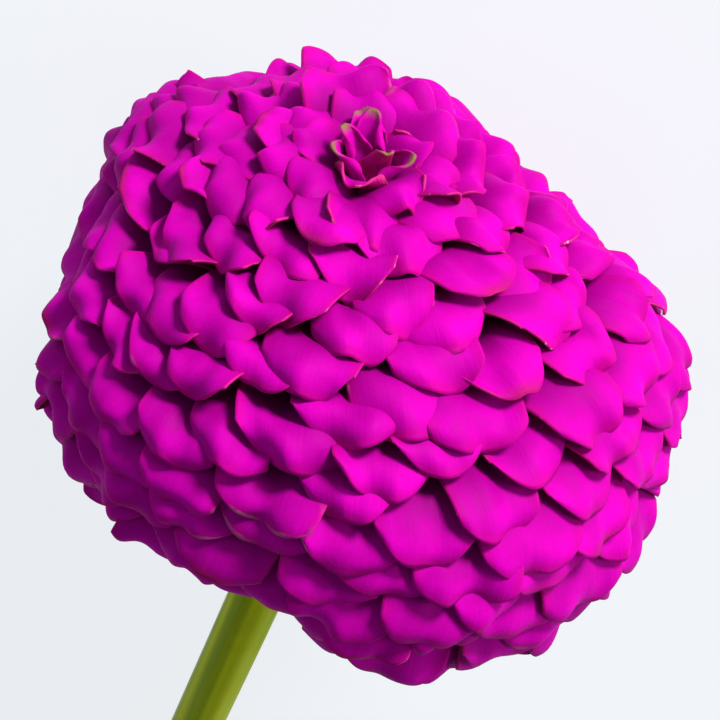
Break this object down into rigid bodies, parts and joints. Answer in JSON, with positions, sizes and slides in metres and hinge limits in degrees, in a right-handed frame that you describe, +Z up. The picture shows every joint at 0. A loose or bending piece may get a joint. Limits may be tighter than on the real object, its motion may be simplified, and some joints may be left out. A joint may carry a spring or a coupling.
{
  "type": "zinnia flower",
  "caption": "Fully double magenta zinnia, cut and lying down: a domed head of overlapping petals over a cup of green bracts, on a bare green stem.",
  "frame": {"origin": "bottom centre of the bounding box, on the surface that the flower lies on", "axes": "+Z up; +Y along the flower, from the cut end of the stem towards the head; +X to the right seen from the stem end"},
  "size_m": [0.0802, 0.153, 0.0785],
  "materials": {
    "petal": "velvety matte petal, magenta, with darker and duller undersides",
    "bract": "matte dark green scale with a dark fringed edge",
    "stem": "fresh green stem, ribbed, with fine short hairs"
  },
  "bodies": {
    "root": {"stem": "stem", "bract_01": "bract", "bract_02": "bract", "bract_03": "bract", "bract_04": "bract", "bract_05": "bract", "bract_06": "bract", "bract_07": "bract", "bract_08": "bract", "bract_09": "bract", "bract_10": "bract", "bract_11": "bract", "bract_12": "bract", "bract_13": "bract", "bract_14": "bract", "bract_15": "bract", "bract_16": "bract", "bract_17": "bract", "bract_18": "bract", "bract_19": "bract", "bract_20": "bract", "bract_21": "bract", "bract_22": "bract", "bract_23": "bract", "bract_24": "bract", "petal_whorl_01": "petal", "petal_whorl_02": "petal", "petal_whorl_03": "petal", "petal_whorl_04": "petal", "petal_whorl_05": "petal", "petal_whorl_06": "petal", "petal_whorl_07": "petal", "petal_whorl_08": "petal", "petal_whorl_09": "petal", "petal_whorl_10": "petal", "petal_whorl_11": "petal", "petal_whorl_12": "petal", "petal_whorl_13": "petal", "petal_whorl_14": "petal", "petal_whorl_15": "petal", "petal_whorl_16": "petal"}
  },
  "joints": []
}
